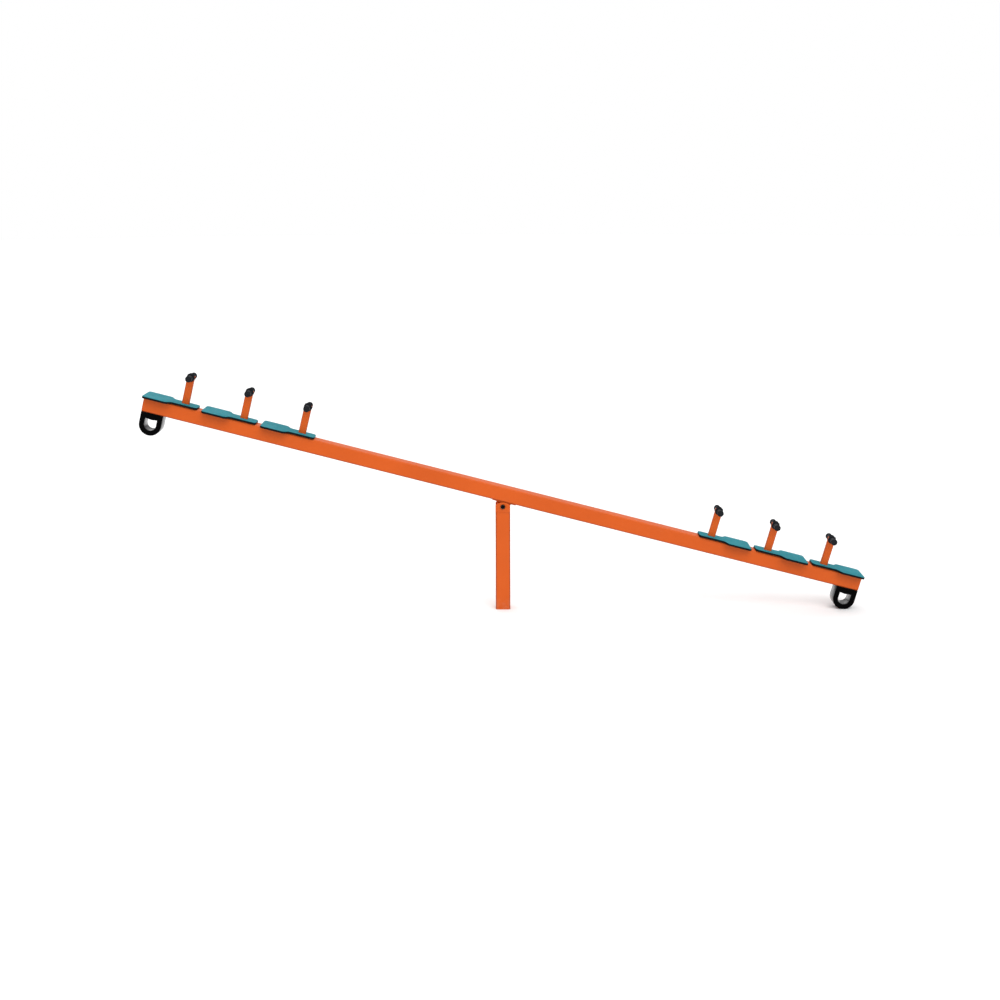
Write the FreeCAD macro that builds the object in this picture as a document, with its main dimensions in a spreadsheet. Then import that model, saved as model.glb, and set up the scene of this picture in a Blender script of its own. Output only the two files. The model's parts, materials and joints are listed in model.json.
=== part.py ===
import FreeCAD, Part
import os
import re
import Sketcher
from math import pi
from FreeCAD import Rotation, Vector

# Six-place seesaw: a square post carries a square beam on one axle.
# Frame: origin on the ground under the axle, +X along the beam towards its low end, +Z up, mm.
# The beam's pieces are drawn level, about the axle, and then tilted until a bumper meets the ground.

SIZE_TABLE = [
    # alias, millimetres, meaning
    ("beam_length", 5000, "beam over its two end caps"),
    ("pivot_height", 725, "axle above the ground"),
    ("tube_size", 100, "side of the square tube of beam and post"),
    ("tube_wall", 4, "wall of that tube"),
    ("tube_corner_radius", 12, "outside corner of that tube"),
    ("end_cap_thickness", 4, "plate that closes a beam end"),
    ("end_cap_spigot", 15, "length of the cap's plug inside the beam"),
    ("end_cap_clearance", 0.3, "gap round that plug"),
    ("foot_plate_thickness", 10, "plate under the post"),
    ("anchor_spacing", 60, "square of the four anchor holes"),
    ("anchor_hole_diameter", 10.2, "tapped for M12"),
    ("head_plate_thickness", 8, "plate that closes the post's top"),
    ("head_plate_drop", 40, "from the axle down to the ears' foot"),
    ("ear_thickness", 8, "each fork ear"),
    ("ear_crown_bulge", 21, "from where an ear's sides end up to its highest point"),
    ("ear_tilt_gap", 1.7, "between an ear's crown and the fully tilted beam"),
    ("axle_diameter", 16, "clamping bolt"),
    ("axle_hole_clearance", 0.5, "round the bolt in ears, washers and spacer"),
    ("axle_across_flats", 24, "bolt head and nut"),
    ("axle_head_height", 10, "bolt head"),
    ("axle_nut_height", 13, "nut"),
    ("axle_stub", 3, "bolt past the nut"),
    ("washer_diameter", 28, "axle washer"),
    ("washer_thickness", 2.5, "axle washer"),
    ("cap_wall", 1.6, "black cover over head or nut"),
    ("cap_edge", 2, "bevel round its end"),
    ("cap_clearance", 0.5, "between cover and what it covers"),
    ("spacer_diameter", 25, "journal tube clamped between the ears"),
    ("bush_clearance", 0.05, "running gap of bush on journal, radial"),
    ("bush_diameter", 32, "outside of the bush"),
    ("bush_length", 25, "bush without its flange"),
    ("flange_diameter", 44, "flange of the bush"),
    ("flange_thickness", 3, "flange of the bush"),
    ("flange_gap", 0.5, "running gap between flange and ear"),
    ("sleeve_diameter", 54, "bearing sleeve under the beam"),
    ("saddle_thickness", 5, "plate between sleeve and beam"),
    ("saddle_length", 160, "that plate, along the beam"),
    ("saddle_side_gap", 2, "between that plate and each ear"),
    ("gusset_thickness", 8, "rib between sleeve and saddle"),
    ("gusset_reach", 65, "rib's far end from the axle"),
    ("gusset_root", 16, "rib's near end from the axle"),
    ("gusset_land", 4, "rib's foot beside the sleeve"),
    ("seat_overhang", 5, "last seat past the beam's end"),
    ("seat_gap", 36, "from one seat to the next"),
    ("seat_tail", 65, "neck past the handle post"),
    ("seat_width", 215, "wide part of the seat"),
    ("seat_wide_length", 162, "wide part along the beam"),
    ("seat_taper_length", 28, "from wide part to neck"),
    ("seat_neck_width", 121, "narrow part of the seat"),
    ("seat_thickness", 15, "seat board"),
    ("seat_corner_radius", 22, "corners in plan"),
    ("seat_edge_radius", 3, "rounding of the top edge"),
    ("handle_inset", 274, "from a seat's outer end to its handle post"),
    ("handle_width", 50, "handle post along the beam"),
    ("handle_depth", 25, "handle post across the beam"),
    ("handle_wall", 2.5, "wall of the handle post"),
    ("handle_corner_radius", 5, "outside corner of the handle post"),
    ("handle_head_room", 1, "between the handlebar and the post's plug"),
    ("handle_slot_clearance", 1, "round the handle post in its seat"),
    ("plug_thickness", 3, "head of the plug that closes a handle post"),
    ("plug_spigot", 3, "plug inside the handle post"),
    ("plug_clearance", 0.2, "gap round that spigot"),
    ("grip_rise", 196, "beam top to the grip's axis"),
    ("bar_diameter", 22, "tube through the handle post"),
    ("bar_wall", 2.5, "wall of that tube"),
    ("bar_clearance", 0.2, "round that tube in the handle post"),
    ("grip_length", 77.5, "from the handle post to the grip's end"),
    ("grip_diameter", 32, "part that the hand holds"),
    ("grip_guard_diameter", 56, "disc beside the handle post"),
    ("grip_guard_thickness", 6, "that disc"),
    ("grip_end_diameter", 43, "disc at the grip's end"),
    ("grip_end_thickness", 7, "that disc"),
    ("grip_end_wall", 5, "rubber over the handlebar's end"),
    ("screw_diameter", 10, "seat screw"),
    ("screw_clearance", 0.3, "round the screw's shank and head"),
    ("screw_head_diameter", 18, "seat screw"),
    ("screw_head_height", 5, "seat screw"),
    ("screw_head_sink", 2, "head below the seat's top"),
    ("screw_grip", 10, "screw past the beam's wall"),
    ("screw_outer_inset", 45, "outer screw from the seat's outer end"),
    ("screw_middle_inset", 130, "middle screw from the same end"),
    ("bumper_radius", 75, "round underside of the bumper"),
    ("bumper_height", 150, "bumper under the beam"),
    ("bumper_depth", 100, "bumper across the beam"),
    ("bumper_wall", 35, "rubber round the hole"),
    ("bumper_top_wall", 38, "rubber above the hole"),
    ("strip_thickness", 4, "steel strip in the bumper's hole"),
    ("strip_width", 40, "strip along the beam"),
    ("strip_length", 80, "strip across the beam"),
    ("bumper_bolt_spacing", 50, "two bolts across the beam"),
    ("bumper_bolt_diameter", 10, "bumper bolt"),
    ("bumper_bolt_head", 20, "its head's diameter"),
    ("bumper_bolt_height", 3, "its head's height"),
    ("bumper_bolt_clearance", 0.5, "round its shank"),
    ("bumper_bolt_grip", 12, "bolt past the beam's wall"),
]

SIDES = {"left": -1, "right": 1}
FACES = {"front": -1, "rear": 1}
SEATS_PER_SIDE = 3

# Places worked out from the sizes; heights are above the axle, square to the beam.
FORK_HALF = "(tube_size / 2 - ear_thickness)"
SLEEVE_HALF = f"({FORK_HALF} - flange_gap - flange_thickness)"
UNDERSIDE = "(sleeve_diameter / 2 + saddle_thickness)"
BEAM_AXIS = f"({UNDERSIDE} + tube_size / 2)"
BEAM_TOP = f"({UNDERSIDE} + tube_size)"
SEAT_TOP = f"({BEAM_TOP} + seat_thickness)"
BORE_TOP = f"({UNDERSIDE} - bumper_top_wall)"
BUMPER_X = "(beam_length / 2 - bumper_radius)"
BUMPER_Z = f"({UNDERSIDE} - bumper_height + bumper_radius)"
SEAT_LENGTH = "(handle_inset + handle_width / 2 + seat_tail)"
HANDLE_RISE = "(grip_rise + bar_diameter / 2 + handle_head_room + plug_spigot + plug_thickness)"
GRIP_END = "(handle_depth / 2 + grip_length)"
BAR_HALF = f"({GRIP_END} - grip_end_wall)"
SCREW_INSETS = ("screw_outer_inset", "screw_middle_inset", f"{SEAT_LENGTH} - seat_tail / 2")

# Tilt at which the round of the low bumper just touches the ground.
REST_TILT = (
    f"(asin((pivot_height - bumper_radius) / sqrt({BUMPER_X}^2 + {BUMPER_Z}^2))"
    f" + atan2({BUMPER_Z}; {BUMPER_X}))"
)

# The crown of an ear keeps its gap to the underside when the beam is tilted to either end.
EAR_RADIUS = "(((tube_size / 2)^2 + ear_crown_bulge^2) / (2 * ear_crown_bulge))"
EAR_CROWN = f"({EAR_RADIUS} - ({EAR_RADIUS} + ear_tilt_gap - {UNDERSIDE}) / cos({REST_TILT}))"
EAR_SHOULDER = f"({EAR_CROWN} - ear_crown_bulge)"

DOC = FreeCAD.newDocument("Seesaw")
SIZES = DOC.addObject("Spreadsheet::Sheet", "Sizes")
PIECES = []


# ---- sheet and expressions ----

def fill_sheet():
    """Write the driving sizes, one row each, with an alias on the number."""
    for row, (alias, size, meaning) in enumerate(SIZE_TABLE, start=1):
        SIZES.set(f"A{row}", alias)
        SIZES.set(f"B{row}", str(size))
        SIZES.setAlias(f"B{row}", alias)
        SIZES.set(f"C{row}", meaning)
    DOC.recompute()


def cell(expression):
    """Point every alias of an expression at the sheet."""
    return re.sub(r"\b[a-z]+(?:_[a-z]+)+\b", r"Sizes.\g<0>", expression)


def number(expression):
    """Present value of an expression."""
    result = SIZES.evalExpression(cell(expression))
    return float(getattr(result, "Value", result))


def seat_x(side, index, inset):
    """Place along the beam, measured inwards from the outer end of one seat."""
    from_end = f"{index} * ({SEAT_LENGTH} + seat_gap) + {inset}"
    return f"{SIDES[side]} * (beam_length / 2 + seat_overhang - ({from_end}))"


# ---- bodies and their places ----

def new_body(label):
    """A sub-part; its label names its file."""
    body = DOC.addObject("PartDesign::Body", label)
    body.Label = label
    PIECES.append(body)
    return body


def stand_on_axle(body):
    """Fixed to the post, drawn about the axle."""
    body.setExpression("Placement.Base.z", cell("pivot_height"))


def ride_beam(body, along="0", above="0"):
    """Tilted with the beam; along and above lead from the axle to the piece's own origin."""
    body.Placement.Rotation = Rotation(Vector(0, 1, 0), 1)
    tilt = cell(REST_TILT)
    along = cell(along)
    above = cell(above)
    body.setExpression("Placement.Base.x", f"({along}) * cos({tilt}) + ({above}) * sin({tilt})")
    body.setExpression(
        "Placement.Base.z",
        f"{cell('pivot_height')} - ({along}) * sin({tilt}) + ({above}) * cos({tilt})",
    )
    body.setExpression("Placement.Rotation.Angle", tilt)


# ---- sketches ----

def add_sketch(body, role, offset="0"):
    """Empty sketch on an origin plane of the body, moved along that plane's normal."""
    plane = next(item for item in body.Origin.OriginFeatures if item.Role == role)
    sketch = body.newObject("Sketcher::SketchObject", f"{body.Label}_sketch")
    sketch.AttachmentSupport = (plane, [""])
    sketch.MapMode = "FlatFace"
    sketch.setExpression("AttachmentOffset.Base.z", cell(offset))
    return sketch


def drive(sketch, kind, geometry, expression, point=None):
    """Dimension one curve, or one of its points, by an expression."""
    where = (geometry,) if point is None else (geometry, point)
    index = sketch.addConstraint(Sketcher.Constraint(kind, *where, number(expression)))
    name = f"size_{index}"
    sketch.renameConstraint(index, name)
    sketch.setExpression(f"Constraints.{name}", cell(expression))


def drive_point(sketch, geometry, point, x, y):
    """Place a point by its two coordinates."""
    drive(sketch, "DistanceX", geometry, x, point)
    drive(sketch, "DistanceY", geometry, y, point)


def draw_outline(sketch, corners):
    """Closed polygon through the corners."""
    points = [Vector(number(x), number(y), 0) for x, y in corners]
    first = sketch.GeometryCount
    for start, end in zip(points, points[1:] + points[:1]):
        sketch.addGeometry(Part.LineSegment(start, end), False)
    for index, (x, y) in enumerate(corners):
        following = first + (index + 1) % len(corners)
        sketch.addConstraint(Sketcher.Constraint("Coincident", first + index, 2, following, 1))
        drive_point(sketch, first + index, 1, x, y)


def draw_rectangle(sketch, x, y, width, height):
    """Sharp rectangle about a centre."""
    low_x, high_x = f"{x} - {width} / 2", f"{x} + {width} / 2"
    low_y, high_y = f"{y} - {height} / 2", f"{y} + {height} / 2"
    draw_outline(sketch, [(low_x, low_y), (high_x, low_y), (high_x, high_y), (low_x, high_y)])


def draw_circle(sketch, x, y, diameter):
    """Circle about a centre."""
    index = sketch.GeometryCount
    centre = Vector(number(x), number(y), 0)
    sketch.addGeometry(Part.Circle(centre, Vector(0, 0, 1), number(diameter) / 2), False)
    drive(sketch, "Diameter", index, diameter)
    drive_point(sketch, index, 3, x, y)


def draw_rounded_rectangle(sketch, x, y, width, height, radius):
    """Rectangle about a centre, with tangent corner arcs."""
    left, right = number(f"{x} - ({width}) / 2"), number(f"{x} + ({width}) / 2")
    low, high = number(f"{y} - ({height}) / 2"), number(f"{y} + ({height}) / 2")
    bend = number(radius)
    sides = [
        (Vector(left + bend, low, 0), Vector(right - bend, low, 0)),
        (Vector(right, low + bend, 0), Vector(right, high - bend, 0)),
        (Vector(right - bend, high, 0), Vector(left + bend, high, 0)),
        (Vector(left, high - bend, 0), Vector(left, low + bend, 0)),
    ]
    centres = [
        Vector(right - bend, low + bend, 0),
        Vector(right - bend, high - bend, 0),
        Vector(left + bend, high - bend, 0),
        Vector(left + bend, low + bend, 0),
    ]
    first = sketch.GeometryCount
    for turn, (side, centre) in enumerate(zip(sides, centres)):
        start = (turn - 1) * pi / 2
        sketch.addGeometry(Part.LineSegment(*side), False)
        corner = Part.Circle(centre, Vector(0, 0, 1), bend)
        sketch.addGeometry(Part.ArcOfCircle(corner, start, start + pi / 2), False)
    for step in range(8):
        following = first + (step + 1) % 8
        sketch.addConstraint(Sketcher.Constraint("Tangent", first + step, 2, following, 1))
    for level, upright in ((0, 2), (4, 6)):
        sketch.addConstraint(Sketcher.Constraint("Horizontal", first + level))
        sketch.addConstraint(Sketcher.Constraint("Vertical", first + upright))
    for arc in (3, 5, 7):
        sketch.addConstraint(Sketcher.Constraint("Equal", first + 1, first + arc))
    drive(sketch, "Radius", first + 1, radius)
    drive(sketch, "DistanceY", first, f"{y} - ({height}) / 2", 1)
    drive(sketch, "DistanceX", first + 2, f"{x} + ({width}) / 2", 1)
    drive(sketch, "DistanceY", first + 4, f"{y} + ({height}) / 2", 1)
    drive(sketch, "DistanceX", first + 6, f"{x} - ({width}) / 2", 1)


def draw_bumper_outline(sketch, x, y, radius, top):
    """Flat top, upright sides and a half-round underside about (x, y)."""
    centre = Vector(number(x), number(y), 0)
    reach = number(radius)
    level = number(top)
    first = sketch.GeometryCount
    left, right = centre.x - reach, centre.x + reach
    sketch.addGeometry(Part.LineSegment(Vector(left, level, 0), Vector(left, centre.y, 0)), False)
    underside = Part.Circle(centre, Vector(0, 0, 1), reach)
    sketch.addGeometry(Part.ArcOfCircle(underside, pi, 2 * pi), False)
    sketch.addGeometry(Part.LineSegment(Vector(right, centre.y, 0), Vector(right, level, 0)), False)
    sketch.addGeometry(Part.LineSegment(Vector(right, level, 0), Vector(left, level, 0)), False)
    sketch.addConstraint(Sketcher.Constraint("Tangent", first, 2, first + 1, 1))
    sketch.addConstraint(Sketcher.Constraint("Tangent", first + 1, 2, first + 2, 1))
    sketch.addConstraint(Sketcher.Constraint("Coincident", first + 2, 2, first + 3, 1))
    sketch.addConstraint(Sketcher.Constraint("Coincident", first + 3, 2, first, 1))
    sketch.addConstraint(Sketcher.Constraint("Vertical", first))
    sketch.addConstraint(Sketcher.Constraint("Vertical", first + 2))
    drive(sketch, "Radius", first + 1, radius)
    drive_point(sketch, first + 1, 3, x, y)
    drive(sketch, "DistanceY", first, top, 1)
    drive(sketch, "DistanceY", first + 2, top, 2)


def draw_ear_outline(sketch):
    """Square foot and sides, with one arc over the crown."""
    half = "tube_size / 2"
    foot = "0 - head_plate_drop"
    reach, low, high = number(half), number(foot), number(EAR_SHOULDER)
    corners = [Vector(-reach, high, 0), Vector(-reach, low, 0), Vector(reach, low, 0), Vector(reach, high, 0)]
    for start, end in zip(corners, corners[1:]):
        sketch.addGeometry(Part.LineSegment(start, end), False)
    crown = Vector(0, number(EAR_CROWN), 0)
    sketch.addGeometry(Part.Arc(corners[-1], crown, corners[0]), False)
    for index in range(3):
        sketch.addConstraint(Sketcher.Constraint("Coincident", index, 2, index + 1, 1))
    sketch.addConstraint(Sketcher.Constraint("Coincident", 3, 2, 0, 1))
    drive_point(sketch, 0, 1, f"0 - {half}", EAR_SHOULDER)
    drive_point(sketch, 1, 1, f"0 - {half}", foot)
    drive_point(sketch, 2, 1, half, foot)
    drive_point(sketch, 2, 2, half, EAR_SHOULDER)
    drive(sketch, "Radius", 3, EAR_RADIUS)


def draw_hexagon(sketch, across_flats):
    """Regular hexagon about the origin."""
    point = f"{across_flats} / sqrt(3)"
    half_point = f"{point} / 2"
    flat = f"{across_flats} / 2"
    draw_outline(sketch, [
        (point, "0"), (half_point, flat), (f"0 - {half_point}", flat),
        (f"0 - {point}", "0"), (f"0 - {half_point}", f"0 - {flat}"), (half_point, f"0 - {flat}"),
    ])


# ---- features ----

def pad(body, sketch, length, both_ways=False):
    """Raise a sketch along its normal, or half each way."""
    feature = body.newObject("PartDesign::Pad", f"{body.Label}_pad")
    feature.Profile = sketch
    if both_ways:
        feature.SideType = "Symmetric"
    feature.setExpression("Length", cell(length))
    DOC.recompute()
    return feature


def pocket(body, sketch, depth=None):
    """Cut a sketch against its normal, or right through both ways; the cut must remove material."""
    before = body.Shape.Volume
    feature = body.newObject("PartDesign::Pocket", f"{body.Label}_pocket")
    feature.Profile = sketch
    if depth is None:
        feature.Type = "ThroughAll"
        feature.SideType = "Symmetric"
    else:
        feature.setExpression("Length", cell(depth))
    DOC.recompute()
    if body.Shape.Volume >= before:
        raise RuntimeError(f"{body.Label}: a pocket cuts nothing")
    return feature


def revolve(body, profile):
    """Turn a profile of (radius, place along Y) points about the body's Y axis."""
    sketch = add_sketch(body, "XY_Plane")
    draw_outline(sketch, profile)
    feature = body.newObject("PartDesign::Revolution", f"{body.Label}_revolution")
    feature.Profile = sketch
    feature.ReferenceAxis = (sketch, ["V_Axis"])
    feature.Angle = 360
    DOC.recompute()
    return feature


def fillet(body, base, edges, radius):
    """Round the named edges of a feature."""
    feature = body.newObject("PartDesign::Fillet", f"{body.Label}_fillet")
    feature.Base = (base, edges)
    feature.setExpression("Radius", cell(radius))
    DOC.recompute()
    return feature


def upright_edges(feature):
    """Names of the straight edges that run along Z."""
    names = []
    for index, edge in enumerate(feature.Shape.Edges, start=1):
        run = edge.Vertexes[-1].Point - edge.Vertexes[0].Point
        if abs(run.z) > 0 and abs(run.x) + abs(run.y) < 1e-6:
            names.append(f"Edge{index}")
    return names


def top_edges(feature):
    """Names of the edges that lie wholly at the shape's highest level."""
    top = feature.Shape.BoundBox.ZMax
    shape_edges = enumerate(feature.Shape.Edges, start=1)
    return [f"Edge{index}" for index, edge in shape_edges if edge.BoundBox.ZMin > top - 1e-6]


# ---- post and fork ----

def draw_tube_section(sketch, y="0"):
    """Section of the square tube, about (0, y)."""
    bore = "tube_size - 2 * tube_wall"
    draw_rounded_rectangle(sketch, "0", y, "tube_size", "tube_size", "tube_corner_radius")
    draw_rounded_rectangle(sketch, "0", y, bore, bore, "tube_corner_radius - tube_wall")


def make_post():
    """Square tube between the foot plate and the head plate."""
    body = new_body("post")
    sketch = add_sketch(body, "XY_Plane", "foot_plate_thickness")
    draw_tube_section(sketch)
    pad(body, sketch, "pivot_height - head_plate_drop - head_plate_thickness - foot_plate_thickness")


def make_foot_plate():
    """Plate under the post, with four tapped anchor holes."""
    body = new_body("foot_plate")
    sketch = add_sketch(body, "XY_Plane")
    draw_rounded_rectangle(sketch, "0", "0", "tube_size", "tube_size", "tube_corner_radius")
    for across in (-1, 1):
        for deep in (-1, 1):
            x, y = f"{across} * anchor_spacing / 2", f"{deep} * anchor_spacing / 2"
            draw_circle(sketch, x, y, "anchor_hole_diameter")
    pad(body, sketch, "foot_plate_thickness")


def make_head_plate():
    """Plate on the post's top, under the two ears."""
    body = new_body("head_plate")
    sketch = add_sketch(body, "XY_Plane", "0 - head_plate_drop - head_plate_thickness")
    draw_rounded_rectangle(sketch, "0", "0", "tube_size", "tube_size", "tube_corner_radius")
    pad(body, sketch, "head_plate_thickness")
    stand_on_axle(body)


def make_ear(face):
    """Fork ear, flush with the post's face, with the bolt's hole."""
    body = new_body(f"fork_ear_{face}")
    start = FORK_HALF if face == "front" else "0 - tube_size / 2"
    sketch = add_sketch(body, "XZ_Plane", start)
    draw_ear_outline(sketch)
    draw_circle(sketch, "0", "0", "axle_diameter + 2 * axle_hole_clearance")
    pad(body, sketch, "ear_thickness")
    stand_on_axle(body)


# ---- axle ----

def make_axle_bolt():
    """Clamping bolt with its head in front."""
    body = new_body("axle_bolt")
    under_head = "tube_size / 2 + washer_thickness"
    tip = f"{under_head} + axle_nut_height + axle_stub"
    radius = "axle_diameter / 2"
    revolve(body, [("0", f"0 - ({under_head})"), (radius, f"0 - ({under_head})"), (radius, tip), ("0", tip)])
    sketch = add_sketch(body, "XZ_Plane", under_head)
    draw_hexagon(sketch, "axle_across_flats")
    pad(body, sketch, "axle_head_height")
    stand_on_axle(body)


def make_axle_nut():
    """Nut behind the rear washer."""
    body = new_body("axle_nut")
    sketch = add_sketch(body, "XZ_Plane", "0 - tube_size / 2 - washer_thickness - axle_nut_height")
    draw_hexagon(sketch, "axle_across_flats")
    draw_circle(sketch, "0", "0", "axle_diameter")
    pad(body, sketch, "axle_nut_height")
    stand_on_axle(body)


def make_axle_washer(face):
    """Washer between an ear and the bolt's head or nut."""
    body = new_body(f"axle_washer_{face}")
    inner, outer = "axle_diameter / 2 + axle_hole_clearance", "washer_diameter / 2"
    near = f"{FACES[face]} * tube_size / 2"
    far = f"{FACES[face]} * (tube_size / 2 + washer_thickness)"
    revolve(body, [(inner, near), (outer, near), (outer, far), (inner, far)])
    stand_on_axle(body)


def make_axle_cap(face):
    """Round cover over the bolt's head or nut."""
    body = new_body(f"axle_cap_{face}")
    covered = "axle_head_height" if face == "front" else "axle_nut_height + axle_stub"
    side = FACES[face]
    near = f"{side} * tube_size / 2"
    roof = f"(tube_size / 2 + washer_thickness + {covered} + cap_clearance)"
    end = f"{side} * ({roof} + cap_wall)"
    bevel = f"{side} * ({roof} + cap_wall - cap_edge)"
    inner = "(max(washer_diameter / 2; axle_across_flats / sqrt(3)) + cap_clearance)"
    outer = f"{inner} + cap_wall"
    revolve(body, [
        (inner, near), (outer, near), (outer, bevel), (f"{outer} - cap_edge", end),
        ("0", end), ("0", f"{side} * {roof}"), (inner, f"{side} * {roof}"),
    ])
    stand_on_axle(body)


def make_spacer():
    """Journal tube that the bolt clamps between the ears."""
    body = new_body("axle_spacer")
    inner, outer = "axle_diameter / 2 + axle_hole_clearance", "spacer_diameter / 2"
    low, high = f"0 - {FORK_HALF}", FORK_HALF
    revolve(body, [(inner, low), (outer, low), (outer, high), (inner, high)])
    stand_on_axle(body)


def make_bush(face):
    """Flanged bush pressed into one end of the sleeve."""
    body = new_body(f"bush_{face}")
    side = FACES[face]
    inner, outer = "spacer_diameter / 2 + bush_clearance", "bush_diameter / 2"
    rim = "flange_diameter / 2"
    outside = f"{side} * ({SLEEVE_HALF} + flange_thickness)"
    seat = f"{side} * {SLEEVE_HALF}"
    inside = f"{side} * ({SLEEVE_HALF} - bush_length)"
    outline = [
        (inner, outside), (rim, outside), (rim, seat), (outer, seat), (outer, inside), (inner, inside)]
    revolve(body, outline)
    ride_beam(body)


def make_sleeve():
    """Bearing sleeve that holds the bushes."""
    body = new_body("bearing_sleeve")
    inner, outer = "bush_diameter / 2", "sleeve_diameter / 2"
    low, high = f"0 - {SLEEVE_HALF}", SLEEVE_HALF
    revolve(body, [(inner, low), (outer, low), (outer, high), (inner, high)])
    ride_beam(body)


def make_saddle():
    """Plate between the sleeve and the beam, narrower than the fork."""
    body = new_body("beam_saddle")
    sketch = add_sketch(body, "XY_Plane", "sleeve_diameter / 2")
    width = f"(2 * ({FORK_HALF} - saddle_side_gap))"
    draw_rectangle(sketch, "0", "0", "saddle_length", width)
    pad(body, sketch, "saddle_thickness")
    ride_beam(body)


def make_gusset(side):
    """Rib between the saddle and one flank of the sleeve."""
    body = new_body(f"saddle_gusset_{side}")
    sign = SIDES[side]
    top = "sleeve_diameter / 2"
    sketch = add_sketch(body, "XZ_Plane")
    draw_outline(sketch, [
        (f"{sign} * gusset_root", "0"),
        (f"{sign} * (sleeve_diameter / 2 + gusset_land)", "0"),
        (f"{sign} * gusset_reach", top),
        (f"{sign} * gusset_root", top),
    ])
    pad(body, sketch, "gusset_thickness", both_ways=True)
    round_seat = add_sketch(body, "XZ_Plane")
    draw_circle(round_seat, "0", "0", "sleeve_diameter")
    pocket(body, round_seat)
    ride_beam(body)


# ---- beam ----

def draw_seat_screws(sketch, diameter):
    """A circle at each seat screw of the whole beam."""
    for side in SIDES:
        for index in range(SEATS_PER_SIDE):
            for inset in SCREW_INSETS:
                draw_circle(sketch, seat_x(side, index, inset), "0", diameter)


def draw_bumper_bolts(sketch, side, diameter):
    """A circle at each of the two bolts of one bumper."""
    for across in (-1, 1):
        draw_circle(sketch, f"{SIDES[side]} * {BUMPER_X}", f"{across} * bumper_bolt_spacing / 2", diameter)


def make_beam():
    """Square tube with holes for the seat screws and the bumper bolts."""
    body = new_body("beam")
    section = add_sketch(body, "YZ_Plane")
    draw_tube_section(section, BEAM_AXIS)
    pad(body, section, "beam_length - 2 * end_cap_thickness", both_ways=True)
    screws = add_sketch(body, "XY_Plane", BEAM_TOP)
    draw_seat_screws(screws, "screw_diameter + 2 * screw_clearance")
    pocket(body, screws, "2 * tube_wall")
    bolts = add_sketch(body, "XY_Plane", f"{UNDERSIDE} + tube_wall")
    for side in SIDES:
        draw_bumper_bolts(bolts, side, "bumper_bolt_diameter + 2 * bumper_bolt_clearance")
    pocket(body, bolts, "2 * tube_wall")
    ride_beam(body)


def make_end_cap(side):
    """Plate over a beam end, with a plug inside the tube."""
    body = new_body(f"end_cap_{side}")
    if side == "right":
        plate_start = "beam_length / 2 - end_cap_thickness"
        plug_start = f"{plate_start} - end_cap_spigot"
    else:
        plate_start = "0 - beam_length / 2"
        plug_start = f"{plate_start} + end_cap_thickness"
    plate = add_sketch(body, "YZ_Plane", plate_start)
    draw_rounded_rectangle(plate, "0", BEAM_AXIS, "tube_size", "tube_size", "tube_corner_radius")
    pad(body, plate, "end_cap_thickness")
    inset = "(tube_wall + end_cap_clearance)"
    plug = add_sketch(body, "YZ_Plane", plug_start)
    size = f"tube_size - 2 * {inset}"
    draw_rounded_rectangle(plug, "0", BEAM_AXIS, size, size, f"tube_corner_radius - {inset}")
    pad(body, plug, "end_cap_spigot")
    ride_beam(body)


# ---- seats ----

def make_seat(side, index):
    """Board with a wide end outwards, a neck inwards, and a slot for the handle post."""
    body = new_body(f"seat_{side}_{index + 1}")
    wide_end = "seat_wide_length"
    neck_start = "seat_wide_length + seat_taper_length"
    half_profile = [
        ("0", "seat_width / 2"), (wide_end, "seat_width / 2"),
        (neck_start, "seat_neck_width / 2"), (SEAT_LENGTH, "seat_neck_width / 2"),
    ]
    near = [(seat_x(side, index, inset), f"0 - {half}") for inset, half in half_profile]
    far = [(seat_x(side, index, inset), half) for inset, half in reversed(half_profile)]
    plan = add_sketch(body, "XY_Plane", BEAM_TOP)
    draw_outline(plan, near + far)
    board = pad(body, plan, "seat_thickness")
    rounded = fillet(body, board, upright_edges(board), "seat_corner_radius")
    fillet(body, rounded, top_edges(rounded), "seat_edge_radius")
    slot = add_sketch(body, "XY_Plane", SEAT_TOP)
    draw_rounded_rectangle(
        slot, seat_x(side, index, "handle_inset"), "0",
        "handle_width + 2 * handle_slot_clearance", "handle_depth + 2 * handle_slot_clearance",
        "handle_corner_radius + handle_slot_clearance",
    )
    pocket(body, slot)
    for diameter, depth in (
        ("screw_diameter", None),
        ("screw_head_diameter", "screw_head_height + screw_head_sink"),
    ):
        holes = add_sketch(body, "XY_Plane", SEAT_TOP)
        for inset in SCREW_INSETS:
            draw_circle(holes, seat_x(side, index, inset), "0", f"{diameter} + 2 * screw_clearance")
        pocket(body, holes, depth)
    ride_beam(body)


def make_seat_screws():
    """All the seat screws, sunk into the boards and held in the beam's top wall."""
    body = new_body("seat_screws")
    under_head = f"({SEAT_TOP} - screw_head_sink - screw_head_height)"
    tip = f"({BEAM_TOP} - tube_wall - screw_grip)"
    shanks = add_sketch(body, "XY_Plane", tip)
    draw_seat_screws(shanks, "screw_diameter")
    pad(body, shanks, f"{under_head} - {tip}")
    heads = add_sketch(body, "XY_Plane", under_head)
    draw_seat_screws(heads, "screw_head_diameter")
    pad(body, heads, "screw_head_height")
    ride_beam(body)


# ---- handles ----

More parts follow.
